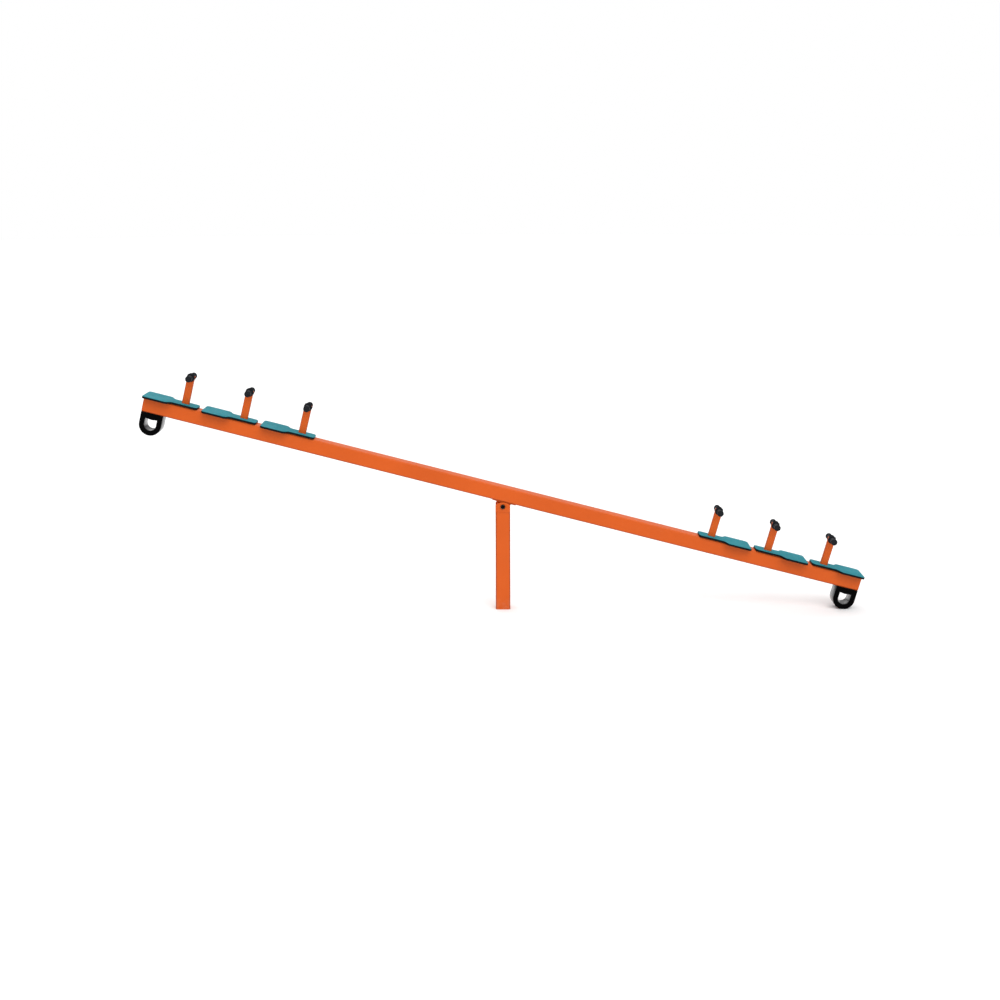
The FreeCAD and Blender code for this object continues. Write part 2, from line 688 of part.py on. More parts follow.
def make_handle_post(side, index):
    """Flat tube welded on the beam, bored across for the handlebar."""
    body = new_body(f"handle_post_{side}_{index + 1}")
    x = seat_x(side, index, "handle_inset")
    section = add_sketch(body, "XY_Plane", BEAM_TOP)
    draw_rounded_rectangle(section, x, "0", "handle_width", "handle_depth", "handle_corner_radius")
    draw_rounded_rectangle(
        section, x, "0", "handle_width - 2 * handle_wall", "handle_depth - 2 * handle_wall",
        "handle_corner_radius - handle_wall",
    )
    pad(body, section, f"{HANDLE_RISE} - plug_thickness")
    bore = add_sketch(body, "XZ_Plane")
    draw_circle(bore, x, f"{BEAM_TOP} + grip_rise", "bar_diameter + 2 * bar_clearance")
    pocket(body, bore)
    ride_beam(body)


def make_handle_plugs():
    """The plugs that close the handle posts."""
    body = new_body("handle_plugs")
    under_head = f"({BEAM_TOP} + {HANDLE_RISE} - plug_thickness)"
    inset = "(handle_wall + plug_clearance)"
    heads = add_sketch(body, "XY_Plane", under_head)
    spigots = add_sketch(body, "XY_Plane", f"{under_head} - plug_spigot")
    for side in SIDES:
        for index in range(SEATS_PER_SIDE):
            x = seat_x(side, index, "handle_inset")
            draw_rounded_rectangle(heads, x, "0", "handle_width", "handle_depth", "handle_corner_radius")
            draw_rounded_rectangle(
                spigots, x, "0", f"handle_width - 2 * {inset}", f"handle_depth - 2 * {inset}",
                f"handle_corner_radius - {inset}",
            )
    pad(body, heads, "plug_thickness")
    pad(body, spigots, "plug_spigot")
    ride_beam(body)


def make_handlebar(side, index):
    """Tube through the handle post, under both grips."""
    body = new_body(f"handlebar_{side}_{index + 1}")
    inner, outer = "bar_diameter / 2 - bar_wall", "bar_diameter / 2"
    low, high = f"0 - {BAR_HALF}", BAR_HALF
    revolve(body, [(inner, low), (outer, low), (outer, high), (inner, high)])
    ride_beam(body, seat_x(side, index, "handle_inset"), f"{BEAM_TOP} + grip_rise")


def make_grip(side, index, face):
    """Grip with a guard disc by the post and a smaller disc at its closed end."""
    body = new_body(f"grip_{side}_{index + 1}_{face}")
    way = FACES[face]
    root = f"{way} * handle_depth / 2"
    guard = f"{way} * (handle_depth / 2 + grip_guard_thickness)"
    end = f"{way} * {GRIP_END}"
    disc = f"{way} * ({GRIP_END} - grip_end_thickness)"
    bar_end = f"{way} * {BAR_HALF}"
    bore, hold = "bar_diameter / 2", "grip_diameter / 2"
    rim, knob = "grip_guard_diameter / 2", "grip_end_diameter / 2"
    revolve(body, [
        (bore, root), (rim, root), (rim, guard), (hold, guard), (hold, disc),
        (knob, disc), (knob, end), ("0", end), ("0", bar_end), (bore, bar_end),
    ])
    ride_beam(body, seat_x(side, index, "handle_inset"), f"{BEAM_TOP} + grip_rise")


# ---- bumpers ----

def make_bumper(side):
    """Rubber bumper with a hole right through, flush with the beam's end."""
    body = new_body(f"bumper_{side}")
    x = f"{SIDES[side]} * {BUMPER_X}"
    section = add_sketch(body, "XZ_Plane")
    draw_bumper_outline(section, x, BUMPER_Z, "bumper_radius", UNDERSIDE)
    draw_bumper_outline(section, x, BUMPER_Z, "bumper_radius - bumper_wall", BORE_TOP)
    pad(body, section, "bumper_depth", both_ways=True)
    bolts = add_sketch(body, "XY_Plane", UNDERSIDE)
    draw_bumper_bolts(bolts, side, "bumper_bolt_diameter + 2 * bumper_bolt_clearance")
    pocket(body, bolts, "bumper_top_wall + strip_thickness")
    ride_beam(body)


def make_bumper_strip(side):
    """Steel strip that presses the bumper's top wall against the beam."""
    body = new_body(f"bumper_strip_{side}")
    sketch = add_sketch(body, "XY_Plane", f"{BORE_TOP} - strip_thickness")
    draw_rectangle(sketch, f"{SIDES[side]} * {BUMPER_X}", "0", "strip_width", "strip_length")
    draw_bumper_bolts(sketch, side, "bumper_bolt_diameter + 2 * bumper_bolt_clearance")
    pad(body, sketch, "strip_thickness")
    ride_beam(body)


def make_bumper_bolts():
    """The bolts of both bumpers, heads down inside the holes."""
    body = new_body("bumper_bolts")
    under_strip = f"({BORE_TOP} - strip_thickness)"
    tip = f"({UNDERSIDE} + tube_wall + bumper_bolt_grip)"
    heads = add_sketch(body, "XY_Plane", f"{under_strip} - bumper_bolt_height")
    shanks = add_sketch(body, "XY_Plane", under_strip)
    for side in SIDES:
        draw_bumper_bolts(heads, side, "bumper_bolt_head")
        draw_bumper_bolts(shanks, side, "bumper_bolt_diameter")
    pad(body, heads, "bumper_bolt_height")
    pad(body, shanks, f"{tip} - {under_strip}")
    ride_beam(body)


# ---- whole ----

def make_all():
    """Every sub-part, from the ground up."""
    make_post()
    make_foot_plate()
    make_head_plate()
    make_axle_bolt()
    make_axle_nut()
    make_spacer()
    for face in FACES:
        make_ear(face)
        make_axle_washer(face)
        make_axle_cap(face)
        make_bush(face)
    make_sleeve()
    make_saddle()
    make_beam()
    make_seat_screws()
    make_handle_plugs()
    make_bumper_bolts()
    for side in SIDES:
        make_gusset(side)
        make_end_cap(side)
        make_bumper(side)
        make_bumper_strip(side)
        for index in range(SEATS_PER_SIDE):
            make_seat(side, index)
            make_handle_post(side, index)
            make_handlebar(side, index)
            for face in FACES:
                make_grip(side, index, face)


def check_document():
    """Stop if any feature failed or any sub-part has no valid solid."""
    DOC.recompute()
    for item in DOC.Objects:
        if "Invalid" in item.State or "Error" in item.State:
            raise RuntimeError(f"{item.Label}: {item.State}")
    for piece in PIECES:
        if piece.Shape.isNull() or not piece.Shape.isValid() or not piece.Shape.Solids:
            raise RuntimeError(f"{piece.Label}: no valid solid")


def write_pieces():
    """One STEP file for each sub-part."""
    os.makedirs("parts", exist_ok=True)
    for piece in PIECES:
        piece.Shape.exportStep(f"parts/{piece.Label}.step")


fill_sheet()
make_all()
check_document()
write_pieces()
print(f"{len(PIECES)} sub-parts, rest tilt {number(REST_TILT):.3f} degrees")
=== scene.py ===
import json
from math import atan2, cos, pi, radians, sin

import bpy
from mathutils import Matrix, Vector


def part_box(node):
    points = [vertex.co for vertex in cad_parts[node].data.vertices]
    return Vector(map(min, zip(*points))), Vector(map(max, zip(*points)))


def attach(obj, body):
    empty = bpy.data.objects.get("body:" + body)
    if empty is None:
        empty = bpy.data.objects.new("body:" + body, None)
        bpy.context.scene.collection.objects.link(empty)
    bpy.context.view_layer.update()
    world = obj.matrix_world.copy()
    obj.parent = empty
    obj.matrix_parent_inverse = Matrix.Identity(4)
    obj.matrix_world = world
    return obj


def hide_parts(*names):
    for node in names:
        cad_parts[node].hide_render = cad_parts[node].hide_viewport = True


bl_info = {
    "name": "Playground Seesaw",
    "version": (1, 0, 0),
    "blender": (4, 5, 0),
    "location": "View3D > Sidebar > Seesaw",
    "description": "Finishes a six-place steel seesaw: paint, seat boards, grips, bumpers and welds",
    "category": "Object",
}

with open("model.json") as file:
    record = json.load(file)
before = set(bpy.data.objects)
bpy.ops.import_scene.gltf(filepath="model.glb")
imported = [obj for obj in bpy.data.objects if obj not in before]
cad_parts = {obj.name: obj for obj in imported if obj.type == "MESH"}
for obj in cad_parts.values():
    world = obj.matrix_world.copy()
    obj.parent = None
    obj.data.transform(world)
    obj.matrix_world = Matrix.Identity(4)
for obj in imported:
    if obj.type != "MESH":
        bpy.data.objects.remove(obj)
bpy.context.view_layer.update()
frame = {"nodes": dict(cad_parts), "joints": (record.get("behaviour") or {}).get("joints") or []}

POST = "post_and_fork"
BEAM = "beam_and_seats"
SIDES = ("left", "right")
FACES = {"front": -1, "rear": 1}
PLACES = [f"{side}_{number}" for side in SIDES for number in (1, 2, 3)]

MM = 0.001
ACROSS = Vector((0, 1, 0))

# grip, in millimetres across
GUARD_WIDTH, KNOB_WIDTH = 56, 43

# light and camera; angles in degrees
FLOOR_RADIUS = 60
KEY_FROM = Vector((0.30, -0.80, 0.85))
FILL_FROM = Vector((-0.45, 0.80, 0.7))
FILL_SHARE = 0.35
CAMERA_PLACE = (0.0455, -9.4716, 2.9293)
CAMERA_TURN, CAMERA_DIP, CAMERA_ROLL = 0.3925, 12.8955, -0.1627

# colours that no setting changes
# painted shade: dark orange laid on the rounded tube corners that don't face up
PAINTED_CORNER_SHADE = (0.28, 0.036, 0.0030)
SCUFFED_PAINT = (0.80, 0.24, 0.09)
PAINT_DUST = (0.50, 0.42, 0.35)
RUBBED_SEAT = (0.06, 0.30, 0.34)
SEAT_DUST = (0.16, 0.28, 0.30)
RUBBER_BLOOM = (0.014, 0.015, 0.022)
RUBBER_DUST = (0.30, 0.28, 0.26)
MOULDED_DUST = (0.07, 0.07, 0.07)


# ---- the beam's own directions ----

def centre_of(node):
    """Middle of a CAD node's box."""
    low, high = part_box(node)
    return (Vector(low) + Vector(high)) / 2


def size_of(node):
    """Lengths of a CAD node's box."""
    low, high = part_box(node)
    return Vector(high) - Vector(low)


PIVOT = Vector(frame["joints"][0]["pos_m"])
RUN = centre_of("handlebar_right_1") - centre_of("handlebar_left_1")
TILT = atan2(-RUN.z, RUN.x)
ALONG = Vector((cos(TILT), 0, -sin(TILT)))
ABOVE = Vector((sin(TILT), 0, cos(TILT)))
LEVEL_TO_BEAM = Matrix.Rotation(TILT, 4, "Y")


def beam_point(along, across, above):
    """Place given along, across and above the axle, square to the beam."""
    return PIVOT + ALONG * along + ACROSS * across + ABOVE * above


def beam_span(points, direction):
    """Lowest and highest reach of some points in one direction from the axle."""
    reaches = [(point - PIVOT).dot(direction) for point in points]
    return min(reaches), max(reaches)


def node_points(node):
    """Vertices of a CAD node."""
    return [vertex.co.copy() for vertex in frame["nodes"][node].data.vertices]


# ---- settings ----

class SeesawPaint(bpy.types.PropertyGroup):
    """Powder coat on the steel."""
    colour: bpy.props.FloatVectorProperty(
        name="Colour", description="Orange of the powder coat", subtype="COLOR",
        size=3, min=0, max=1, default=(0.655, 0.1015, 0.0065))
    shade: bpy.props.FloatVectorProperty(
        name="Shade", description="Orange where the coat is thicker", subtype="COLOR",
        size=3, min=0, max=1, default=(0.600, 0.0915, 0.0058))
    edge_round: bpy.props.FloatProperty(
        name="Edge round", description="Rounding of the plates' cut edges",
        subtype="DISTANCE", default=0.0011)
    bead: bpy.props.FloatProperty(
        name="Weld bead", description="Half the width of a weld", subtype="DISTANCE", default=0.0028)


class SeesawSeat(bpy.types.PropertyGroup):
    """Two-colour seat board."""
    colour: bpy.props.FloatVectorProperty(
        name="Face", description="Blue-green face of the board", subtype="COLOR",
        size=3, min=0, max=1, default=(0.006, 0.220, 0.270))
    core: bpy.props.FloatVectorProperty(
        name="Core", description="Black core of the board", subtype="COLOR",
        size=3, min=0, max=1, default=(0.0025, 0.0026, 0.0028))
    face_depth: bpy.props.FloatProperty(
        name="Face depth", description="Thickness of the coloured layer", subtype="DISTANCE",
        default=0.0018)


class SeesawRubber(bpy.types.PropertyGroup):
    """Grips and bumpers."""
    bumper: bpy.props.FloatVectorProperty(
        name="Bumper", description="Black rubber of the bumpers", subtype="COLOR",
        size=3, min=0, max=1, default=(0.0008, 0.0008, 0.0009))
    grip: bpy.props.FloatVectorProperty(
        name="Grip", description="Dark rubber of the grips", subtype="COLOR",
        size=3, min=0, max=1, default=(0.0050, 0.0062, 0.0085))
    ribs: bpy.props.IntProperty(
        name="Ribs", description="Rings along the part that the hand holds", default=9, min=0)
    rib_height: bpy.props.FloatProperty(
        name="Rib height", description="How far a ring stands out", subtype="DISTANCE",
        default=0.0007)


class SeesawStage(bpy.types.PropertyGroup):
    """Floor, light and camera."""
    floor: bpy.props.FloatVectorProperty(
        name="Floor", description="Pale floor", subtype="COLOR",
        size=3, min=0, max=1, default=(0.915, 0.915, 0.917))
    horizon: bpy.props.FloatProperty(
        name="Horizon", description="Light from the surround at eye level", default=0.32, min=0)
    zenith: bpy.props.FloatProperty(
        name="Zenith", description="Light from the surround overhead", default=1.2, min=0)
    key: bpy.props.FloatProperty(
        name="Key light", description="Strength of the main soft light", default=1.05, min=0)
    softness: bpy.props.FloatProperty(
        name="Softness", description="Angle that each lamp fills", subtype="ANGLE",
        default=radians(50))
    lens: bpy.props.FloatProperty(
        name="Lens", description="Focal length in millimetres", default=51.5)


class SeesawSettings(bpy.types.PropertyGroup):
    """All the settings of the seesaw."""
    paint: bpy.props.PointerProperty(type=SeesawPaint)
    seat: bpy.props.PointerProperty(type=SeesawSeat)
    rubber: bpy.props.PointerProperty(type=SeesawRubber)
    stage: bpy.props.PointerProperty(type=SeesawStage)


def settings():
    """The scene's seesaw settings."""
    return bpy.context.scene.seesaw


# ---- shader groups ----

def new_group(name, inputs, outputs):
    """Empty shader group with float, vector or colour sockets."""
    kinds = {"value": "NodeSocketFloat", "vector": "NodeSocketVector", "colour": "NodeSocketColor"}
    group = bpy.data.node_groups.new(name, "ShaderNodeTree")
    for direction, sockets in (("INPUT", inputs), ("OUTPUT", outputs)):
        for label, kind in sockets:
            group.interface.new_socket(name=label, in_out=direction, socket_type=kinds[kind])
    entry = group.nodes.new("NodeGroupInput")
    leave = group.nodes.new("NodeGroupOutput")
    return group, entry, leave


def add(tree, kind, links=(), **values):
    """New node; links maps its inputs to output sockets, values sets its inputs or properties."""
    node = tree.nodes.new(kind)
    for label, value in values.items():
        if label in node.bl_rna.properties:
            setattr(node, label, value)
        else:
            node.inputs[label.replace("_", " ")].default_value = value
    for label, socket in dict(links).items():
        tree.links.new(socket, node.inputs[label])
    return node


def maths(tree, operation, first, second):
    """Math node on two inputs, each a socket or a number."""
    node = tree.nodes.new("ShaderNodeMath")
    node.operation = operation
    for index, item in enumerate((first, second)):
        if isinstance(item, (int, float)):
            node.inputs[index].default_value = item
        else:
            tree.links.new(item, node.inputs[index])
    return node.outputs[0]


def ramp(tree, value, low, high, to_low=0.0, to_high=1.0):
    """Value remapped from low..high, and held at the ends."""
    node = tree.nodes.new("ShaderNodeMapRange")
    node.interpolation_type = "SMOOTHSTEP"
    tree.links.new(value, node.inputs["Value"])
    for label, number in (("From Min", low), ("From Max", high), ("To Min", to_low), ("To Max", to_high)):
        node.inputs[label].default_value = number
    return node.outputs["Result"]


def mix_value(tree, factor, first, second):
    """Blend of two numbers; each is a socket or a number."""
    change = maths(tree, "SUBTRACT", second, first)
    return maths(tree, "ADD", maths(tree, "MULTIPLY", change, factor), first)


def mix_colour(tree, factor, first, second):
    """Blend of two colours; each is a socket or an RGB value."""
    node = tree.nodes.new("ShaderNodeMix")
    node.data_type = "RGBA"
    tree.links.new(factor, node.inputs[0])
    for index, item in ((6, first), (7, second)):
        if isinstance(item, bpy.types.NodeSocket):
            tree.links.new(item, node.inputs[index])
        else:
            node.inputs[index].default_value = (*item, 1)
    return node.outputs[2]


def orange_peel_group():
    """Fine rolling texture of a sprayed or moulded skin."""
    group, entry, leave = new_group(
        "sprayed skin", [("Vector", "vector"), ("Size", "value")], [("Height", "value")])
    wide = maths(group, "DIVIDE", 1.0, entry.outputs["Size"])
    rolls = add(group, "ShaderNodeTexNoise", {"Vector": entry.outputs["Vector"], "Scale": wide}, Detail=1.5)
    fine = maths(group, "MULTIPLY", wide, 3.1)
    grains = add(group, "ShaderNodeTexNoise", {"Vector": entry.outputs["Vector"], "Scale": fine}, Detail=1.0)
    small = maths(group, "MULTIPLY", grains.outputs["Fac"], 0.35)
    total = maths(group, "ADD", rolls.outputs["Fac"], small)
    group.links.new(total, leave.inputs["Height"])
    return group


def mottle_group():
    """Slow change from one shade to another over the surface."""
    group, entry, leave = new_group(
        "slow mottle",
        [("Vector", "vector"), ("Scale", "value"), ("First", "colour"), ("Second", "colour")],
        [("Color", "colour"), ("Mask", "value")])
    clouds = add(
        group, "ShaderNodeTexNoise",
        {"Vector": entry.outputs["Vector"], "Scale": entry.outputs["Scale"]}, Detail=3.0, Roughness=0.55)
    mask = ramp(group, clouds.outputs["Fac"], 0.32, 0.68)
    colour = mix_colour(group, mask, entry.outputs["First"], entry.outputs["Second"])
    group.links.new(colour, leave.inputs["Color"])
    group.links.new(mask, leave.inputs["Mask"])
    return group


def scuff_group():
    """Sparse hairline scratches, long in the vector's X direction."""
    group, entry, leave = new_group(
        "hairline scuffs",
        [("Vector", "vector"), ("Scale", "value"), ("Amount", "value")],
        [("Mask", "value")])
    total = None
    for turn, offset in ((0.12, 0.0), (-0.35, 7.3), (0.8, 13.1)):
        place = add(group, "ShaderNodeMapping", {"Vector": entry.outputs["Vector"]})
        place.inputs["Rotation"].default_value = (0, 0, turn)
        place.inputs["Location"].default_value = (offset, offset, 0)
        place.inputs["Scale"].default_value = (0.06, 1.0, 1.0)
        lines = add(
            group, "ShaderNodeTexNoise",
            {"Vector": place.outputs["Vector"], "Scale": entry.outputs["Scale"]}, Detail=2.0)
        away = maths(group, "ABSOLUTE", maths(group, "SUBTRACT", lines.outputs["Fac"], 0.5), 0.0)
        hair = ramp(group, away, 0.0, 0.006, 1.0, 0.0)
        total = hair if total is None else maths(group, "MAXIMUM", total, hair)
    patches = add(
        group, "ShaderNodeTexNoise",
        {"Vector": entry.outputs["Vector"], "Scale": maths(group, "MULTIPLY", entry.outputs["Scale"], 0.12)},
        Detail=2.0)
    where = ramp(group, patches.outputs["Fac"], 0.52, 0.66)
    amount = maths(group, "MULTIPLY", where, entry.outputs["Amount"])
    group.links.new(maths(group, "MULTIPLY", total, amount), leave.inputs["Mask"])
    return group


def dust_group():
    """Dust that lies on upward faces and gathers near the ground."""
    group, entry, leave = new_group(
        "settled dust",
        [("Vector", "vector"), ("Normal", "vector"), ("Amount", "value"), ("Ground", "value")],
        [("Mask", "value")])
    apart = add(group, "ShaderNodeSeparateXYZ", {"Vector": entry.outputs["Normal"]})
    facing = ramp(group, apart.outputs["Z"], 0.55, 0.98)
    place = add(group, "ShaderNodeSeparateXYZ", {"Vector": entry.outputs["Vector"]})
    low = ramp(group, place.outputs["Z"], 0.0, 0.11, 1.0, 0.0)
    near_ground = maths(group, "MULTIPLY", low, entry.outputs["Ground"])
    reach = maths(group, "MAXIMUM", maths(group, "MULTIPLY", facing, entry.outputs["Amount"]), near_ground)
    grain = add(group, "ShaderNodeTexNoise", {"Vector": entry.outputs["Vector"]}, Scale=38.0, Detail=6.0)
    broken = ramp(group, grain.outputs["Fac"], 0.35, 0.75)
    group.links.new(maths(group, "MULTIPLY", reach, broken), leave.inputs["Mask"])
    return group


def corner_shade_group():
    """Mask of painted shade on the rounded corners of square tube that don't face up; its sides face Y."""
    group, entry, leave = new_group(
        "tube corners", [("Normal", "vector"), ("Amount", "value")], [("Mask", "value")])
    apart = add(group, "ShaderNodeSeparateXYZ", {"Vector": entry.outputs["Normal"]})
    across = maths(group, "ABSOLUTE", apart.outputs["Y"], 0.0)
    off_top = ramp(group, across, 0.08, 0.35)
    off_side = ramp(group, across, 0.90, 0.995, 1.0, 0.0)
    turning = maths(group, "MULTIPLY", off_top, off_side)
    not_up = ramp(group, apart.outputs["Z"], 0.15, 0.50, 1.0, 0.0)
    corner = maths(group, "MULTIPLY", turning, not_up)
    group.links.new(maths(group, "MULTIPLY", corner, entry.outputs["Amount"]), leave.inputs["Mask"])
    return group


GROUPS = {}


def shared(name):
    """A shared group, built the first time it is asked for."""
    makers = {
        "peel": orange_peel_group, "mottle": mottle_group, "scuff": scuff_group, "dust": dust_group,
        "corner": corner_shade_group,
    }
    if name not in GROUPS:
        GROUPS[name] = makers[name]()
    return GROUPS[name]


# ---- materials ----

def new_material(name):
    """Material with a Principled shader and object coordinates."""
    material = bpy.data.materials.new(name)
    material.use_nodes = True
    tree = material.node_tree
    tree.nodes.clear()
    shader = tree.nodes.new("ShaderNodeBsdfPrincipled")
    output = tree.nodes.new("ShaderNodeOutputMaterial")
    tree.links.new(shader.outputs["BSDF"], output.inputs["Surface"])
    place = tree.nodes.new("ShaderNodeTexCoord")
    return material, tree, shader, place


def use_group(tree, name, links=(), **values):
    """One shared group placed in a material."""
    node = tree.nodes.new("ShaderNodeGroup")
    node.node_tree = shared(name)
    for label, value in values.items():
        node.inputs[label].default_value = value
    for label, socket in dict(links).items():
        tree.links.new(socket, node.inputs[label])
    return node


def bump(tree, shader, height, strength, depth):
    """Relief from a height; depth is in metres."""
    node = add(tree, "ShaderNodeBump", {"Height": height}, Strength=strength, Distance=depth)
    tree.links.new(node.outputs["Normal"], shader.inputs["Normal"])


def tinted(colour, factor):
    """A colour made lighter or darker by one factor."""
    return tuple(channel * factor for channel in colour)


def dusted(tree, place, colour, tint, amount, ground=0.0):
    """A colour with dust of some tint on it, and the dust's mask."""
    dust = use_group(
        tree, "dust", {"Vector": place.outputs["Object"], "Normal": place.outputs["Normal"]},
        Amount=amount, Ground=ground)
    return mix_colour(tree, dust.outputs["Mask"], colour, tint), dust.outputs["Mask"]


def roughen(tree, shader, mask, spread, base):
    """Roughness that rises from base by the spread where the mask is full."""
    rough = maths(tree, "ADD", maths(tree, "MULTIPLY", mask, spread), base)
    tree.links.new(rough, shader.inputs["Roughness"])


def powder_coat():
    """Semi-gloss orange powder coat: orange peel, slow shade changes, painted shade on the tube corners, a
    little dust and few scuffs.
    """
    paint = settings().paint
    material, tree, shader, place = new_material("orange powder coat")
    where = place.outputs["Object"]
    mottle = use_group(
        tree, "mottle", {"Vector": where}, Scale=1.6, First=(*paint.colour, 1), Second=(*paint.shade, 1))
    scuff = use_group(tree, "scuff", {"Vector": where}, Scale=26.0, Amount=0.10)
    # painted shade: tube corners that don't face up are mixed towards darker orange
    corner = use_group(tree, "corner", {"Normal": place.outputs["Normal"]}, Amount=0.6)
    corner_shaded = mix_colour(tree, corner.outputs["Mask"], mottle.outputs["Color"], PAINTED_CORNER_SHADE)
    scuffed = mix_colour(tree, scuff.outputs["Mask"], corner_shaded, SCUFFED_PAINT)
    colour, dust = dusted(tree, place, scuffed, PAINT_DUST, 0.10, ground=0.12)
    tree.links.new(colour, shader.inputs["Base Color"])
    matt = maths(tree, "MULTIPLY", mottle.outputs["Mask"], 0.06)
    dusty = maths(tree, "MULTIPLY", dust, 0.4)
    rough = maths(tree, "ADD", maths(tree, "ADD", matt, dusty), 0.36)
    tree.links.new(rough, shader.inputs["Roughness"])
    peel = use_group(tree, "peel", {"Vector": where}, Size=0.0024)
    bump(tree, shader, peel.outputs["Height"], strength=0.35, depth=0.00012)
    shader.inputs["Specular IOR Level"].default_value = 0.22
    return material


def board_face():
    """Blue-green polyethylene with a stippled skin, rubbed a little where people sit."""
    seat = settings().seat
    material, tree, shader, place = new_material("seat board face")
    where = place.outputs["Object"]
    darker = tinted(seat.colour, 0.84)
    mottle = use_group(
        tree, "mottle", {"Vector": where}, Scale=5.0, First=(*seat.colour, 1), Second=(*darker, 1))
    scuff = use_group(tree, "scuff", {"Vector": where}, Scale=60.0, Amount=0.30)
    rubbed = mix_colour(tree, scuff.outputs["Mask"], mottle.outputs["Color"], RUBBED_SEAT)
    colour, _ = dusted(tree, place, rubbed, SEAT_DUST, 0.10)
    tree.links.new(colour, shader.inputs["Base Color"])
    roughen(tree, shader, mottle.outputs["Mask"], 0.08, 0.44)
    stipple = add(tree, "ShaderNodeTexVoronoi", {"Vector": where}, Scale=620.0)
    peel = use_group(tree, "peel", {"Vector": where}, Size=0.0030)
    pits = maths(tree, "MULTIPLY", stipple.outputs["Distance"], 0.8)
    relief = maths(tree, "ADD", pits, peel.outputs["Height"])
    bump(tree, shader, relief, strength=0.4, depth=0.00018)
    shader.inputs["Specular IOR Level"].default_value = 0.09
    return material


def board_core():
    """Black polyethylene edge with the fine level lines that a router leaves."""
    seat = settings().seat
    material, tree, shader, place = new_material("seat board core")
    where = place.outputs["Object"]
    level = add(tree, "ShaderNodeMapping", {"Vector": where}, vector_type="TEXTURE")
    level.inputs["Rotation"].default_value = (0, TILT, 0)
    lines = add(
        tree, "ShaderNodeTexWave", {"Vector": level.outputs["Vector"]},
        bands_direction="Z", Scale=340.0, Distortion=1.2, Detail=2.0)
    lighter = tinted(seat.core, 2.2)
    mottle = use_group(
        tree, "mottle", {"Vector": where}, Scale=30.0, First=(*seat.core, 1), Second=(*lighter, 1))
    tree.links.new(mottle.outputs["Color"], shader.inputs["Base Color"])
    roughen(tree, shader, mottle.outputs["Mask"], 0.12, 0.42)
    bump(tree, shader, lines.outputs["Fac"], strength=0.25, depth=0.0001)
    shader.inputs["Specular IOR Level"].default_value = 0.1
    return material


def sawn_rubber():
    """Cut face of the bumper: dead black, with faint saw lines."""
    rubber = settings().rubber
    material, tree, shader, place = new_material("sawn bumper rubber")
    where = place.outputs["Object"]
    slant = add(tree, "ShaderNodeMapping", {"Vector": where})
    slant.inputs["Rotation"].default_value = (0, TILT + 0.2, 0)
    lines = add(
        tree, "ShaderNodeTexWave", {"Vector": slant.outputs["Vector"]},
        bands_direction="X", Scale=260.0, Distortion=2.0, Detail=3.0)
    lighter = tinted(rubber.bumper, 2.0)
    mottle = use_group(
        tree, "mottle", {"Vector": where}, Scale=55.0, First=(*rubber.bumper, 1), Second=(*lighter, 1))
    tree.links.new(mottle.outputs["Color"], shader.inputs["Base Color"])
    roughen(tree, shader, mottle.outputs["Mask"], 0.1, 0.72)
    bump(tree, shader, lines.outputs["Fac"], strength=0.3, depth=0.00015)
    shader.inputs["Specular IOR Level"].default_value = 0.03
    return material


def extruded_rubber():
    """Smooth skin of the bumper, with faint lines along the extrusion."""
    rubber = settings().rubber
    material, tree, shader, place = new_material("extruded bumper rubber")
    where = place.outputs["Object"]
    stretched = add(tree, "ShaderNodeMapping", {"Vector": where})
    stretched.inputs["Scale"].default_value = (1.0, 0.03, 1.0)
    lines = add(tree, "ShaderNodeTexNoise", {"Vector": stretched.outputs["Vector"]}, Scale=420.0, Detail=2.0)
    mottle = use_group(
        tree, "mottle", {"Vector": stretched.outputs["Vector"]}, Scale=24.0,
        First=(*rubber.bumper, 1), Second=(*RUBBER_BLOOM, 1))
    colour, _ = dusted(tree, place, mottle.outputs["Color"], RUBBER_DUST, 0.2, ground=0.35)
    tree.links.new(colour, shader.inputs["Base Color"])
    roughen(tree, shader, mottle.outputs["Mask"], 0.1, 0.22)
    bump(tree, shader, lines.outputs["Fac"], strength=0.2, depth=0.0001)
    shader.inputs["Specular IOR Level"].default_value = 0.55
    shader.inputs["Coat Weight"].default_value = 0.3
    shader.inputs["Coat Roughness"].default_value = 0.2
    return material


def moulded(name, colour, rough, grain, shine=0.14):
    """Dark moulded rubber or plastic with a fine grain."""
    material, tree, shader, place = new_material(name)
    where = place.outputs["Object"]
    lighter = tinted(colour, 1.7)
    mottle = use_group(
        tree, "mottle", {"Vector": where}, Scale=90.0, First=(*colour, 1), Second=(*lighter, 1))
    surface, _ = dusted(tree, place, mottle.outputs["Color"], MOULDED_DUST, 0.08)
    tree.links.new(surface, shader.inputs["Base Color"])
    roughen(tree, shader, mottle.outputs["Mask"], 0.1, rough)
    peel = use_group(tree, "peel", {"Vector": where}, Size=grain)
    bump(tree, shader, peel.outputs["Height"], strength=0.45, depth=0.00012)
    shader.inputs["Specular IOR Level"].default_value = shine
    return material


def plated(name, colour, tint):
    """Plated or plain metal: fine spangle and slow tint changes."""
    material, tree, shader, place = new_material(name)
    where = place.outputs["Object"]
    mottle = use_group(tree, "mottle", {"Vector": where}, Scale=70.0, First=(*colour, 1), Second=(*tint, 1))
    tree.links.new(mottle.outputs["Color"], shader.inputs["Base Color"])
    roughen(tree, shader, mottle.outputs["Mask"], 0.14, 0.26)
    scuff = use_group(tree, "scuff", {"Vector": where}, Scale=180.0, Amount=1.0)
    bump(tree, shader, scuff.outputs["Mask"], strength=0.2, depth=0.00005)
    shader.inputs["Metallic"].default_value = 1.0
    return material


MATERIALS = {}


